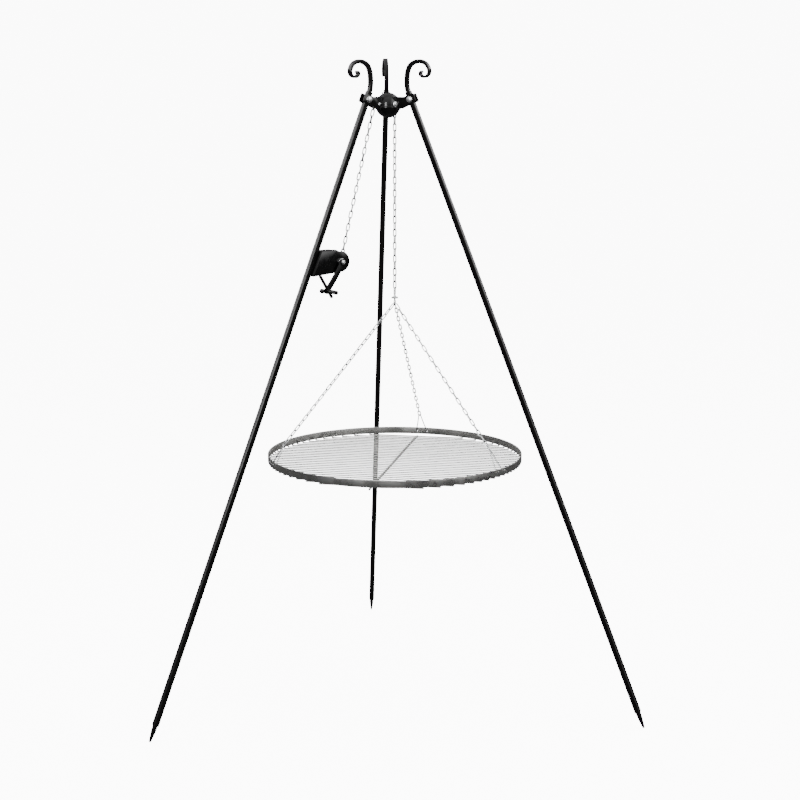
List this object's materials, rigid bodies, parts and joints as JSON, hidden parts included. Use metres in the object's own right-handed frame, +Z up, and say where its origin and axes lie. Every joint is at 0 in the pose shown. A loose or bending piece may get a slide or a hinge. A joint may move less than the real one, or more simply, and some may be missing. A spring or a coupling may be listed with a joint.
{
  "type": "campfire tripod grate",
  "caption": "Campfire tripod with curled leg tops, a ball hub, and a round hanging grill grate on chains, raised by a hand winch on one leg.",
  "frame": {"origin": "on the ground, at the middle of the box round the whole tripod", "axes": "+Z up; +Y towards the foot of the back leg; the winch leg's foot is at -X -Y"},
  "size_m": [1.3498, 1.169, 1.8002],
  "materials": {
    "black_enamel": "gloss",
    "zinc_hardware": "bright zinc plate",
    "zinc_chain": "bright zinc plate",
    "stainless_steel": "satin",
    "brass": "turned"
  },
  "bodies": {
    "frame": {"leg_tube_left": "black_enamel", "leg_tube_right": "black_enamel", "leg_tube_back": "black_enamel", "foot_spike_left": "black_enamel", "foot_spike_right": "black_enamel", "foot_spike_back": "black_enamel", "scroll_left": "black_enamel", "scroll_right": "black_enamel", "scroll_back": "black_enamel", "hub_dome": "black_enamel", "hub_bowl": "black_enamel", "hub_arm_left": "black_enamel", "hub_arm_right": "black_enamel", "hub_arm_back": "black_enamel", "leg_bolt_left": "zinc_hardware", "leg_bolt_right": "zinc_hardware", "leg_bolt_back": "zinc_hardware", "leg_nut_left": "zinc_hardware", "leg_nut_right": "zinc_hardware", "leg_nut_back": "zinc_hardware", "pulley_axle": "zinc_hardware", "pulley_axle_nut": "zinc_hardware", "pulley_spacer_near": "zinc_hardware", "pulley_spacer_far": "zinc_hardware", "guide_pin": "zinc_hardware", "winch_housing": "black_enamel", "winch_screw_upper": "zinc_hardware", "winch_screw_lower": "zinc_hardware", "chain_over_hub": "zinc_chain", "chain_to_winch": "zinc_chain"},
    "pulley": {"hub_pulley": "brass"},
    "guide": {"guide_roller": "brass"},
    "winch_crank": {"winch_drum": "zinc_hardware", "winch_axle": "zinc_hardware", "chain_on_drum": "zinc_chain", "axle_clip": "zinc_hardware", "brake_washer": "zinc_hardware", "crank_arm": "black_enamel", "crank_nut": "zinc_hardware", "crank_rivet": "black_enamel", "handle_spindle": "black_enamel", "handle_cross_bar": "black_enamel"},
    "grip": {"handle_grip": "black_enamel"},
    "hoist": {"chain_drop": "zinc_chain"},
    "swivel": {"swivel_bow": "zinc_hardware"},
    "grate": {"bridle_eye": "zinc_hardware", "bridle_chain_left": "zinc_chain", "bridle_chain_right": "zinc_chain", "bridle_chain_back": "zinc_chain", "rim_hanger_left": "zinc_hardware", "rim_hanger_right": "zinc_hardware", "rim_hanger_back": "zinc_hardware", "grate_rim": "stainless_steel", "grate_rod_grid": "stainless_steel"}
  },
  "joints": [
    {"name": "grate_swing", "type": "hinge", "parent": "frame", "child": "hoist", "pos_m": [0.01905, -0.18267, 1.6777], "axis": [0, 1, 0], "range_deg": [-2, 2]},
    {"name": "grate_lift", "type": "slide", "parent": "hoist", "child": "swivel", "axis": [0, 0, 1], "range_m": [-0.45, 0.15], "deforming": ["chain_drop"]},
    {"name": "grate_swivel", "type": "hinge", "parent": "swivel", "child": "grate", "pos_m": [0.01905, -0.18267, 1.139], "axis": [0, 0, 1], "continuous": true},
    {"name": "pulley_spin", "type": "hinge", "parent": "frame", "child": "pulley", "pos_m": [0, -0.19367, 1.678], "axis": [0.5, -0.866, 0], "range_deg": [-1174, 393]},
    {"name": "guide_spin", "type": "hinge", "parent": "frame", "child": "guide", "pos_m": [-0.03204, -0.21217, 1.679], "axis": [0.5, -0.866, 0], "range_deg": [-3225, 1077]},
    {"name": "crank_turn", "type": "hinge", "parent": "frame", "child": "winch_crank", "pos_m": [-0.14679, -0.27842, 1.256], "axis": [0.5, -0.866, 0], "range_deg": [-719, 2151]},
    {"name": "grip_spin", "type": "hinge", "parent": "winch_crank", "child": "grip", "pos_m": [-0.19053, -0.30367, 1.181], "axis": [0.5, -0.866, 0], "continuous": true}
  ],
  "couplings": [
    {"joint": "pulley_spin", "follows": "grate_lift", "rad_per_m": 45.455},
    {"joint": "guide_spin", "follows": "grate_lift", "rad_per_m": 125},
    {"joint": "crank_turn", "follows": "grate_lift", "rad_per_m": -83.333}
  ]
}
